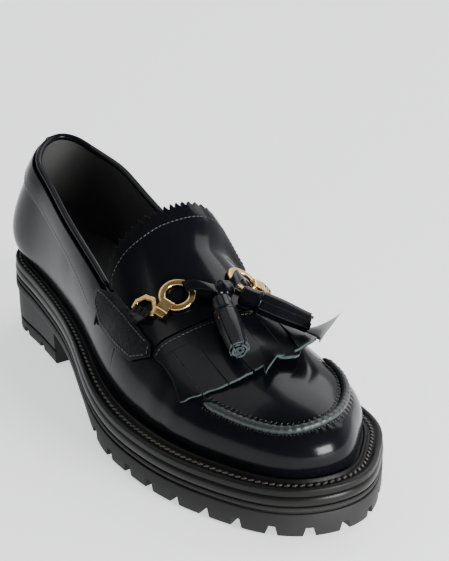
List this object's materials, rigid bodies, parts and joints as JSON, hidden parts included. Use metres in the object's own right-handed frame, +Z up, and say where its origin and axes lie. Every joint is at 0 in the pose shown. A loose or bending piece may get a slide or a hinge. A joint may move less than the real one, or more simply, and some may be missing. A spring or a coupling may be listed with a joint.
{
  "type": "fringed tassel loafer",
  "caption": "Black leather slip-on loafer with pinked tongue, fringed kiltie, two tassels on a bow, metal rings with dees, storm welt and thick lugged rubber sole",
  "frame": {"origin": "on the floor under the middle of the shoe's bounding box", "axes": "+X from heel to toe, +Y to the inner (medial) side, +Z up"},
  "size_m": [0.2774, 0.106, 0.1026],
  "materials": {
    "polished_leather": "high shine, smooth",
    "grained_leather": "soft shine, fine grain",
    "edge_leather": "folded edge, half matt",
    "lining_leather": "matt",
    "gold_metal": "polished",
    "rubber": "matt to half matt"
  },
  "bodies": {
    "root": {"upper": "polished_leather", "collar_band": "polished_leather", "collar_binding": "polished_leather", "backstay": "polished_leather", "back_tab": "polished_leather", "saddle_lateral": "grained_leather", "saddle_medial": "grained_leather", "tongue": "polished_leather", "kiltie": "polished_leather", "moc_ridge": "edge_leather", "tab_lateral": "grained_leather", "tab_medial": "grained_leather", "bow_knot": "polished_leather", "tassel_1": "polished_leather", "tassel_2": "polished_leather", "ring_lateral": "gold_metal", "ring_medial": "gold_metal", "dee_lateral": "gold_metal", "dee_medial": "gold_metal", "insole": "lining_leather", "welt": "rubber", "midsole": "rubber", "outsole": "rubber", "heel_block": "rubber"}
  },
  "joints": []
}
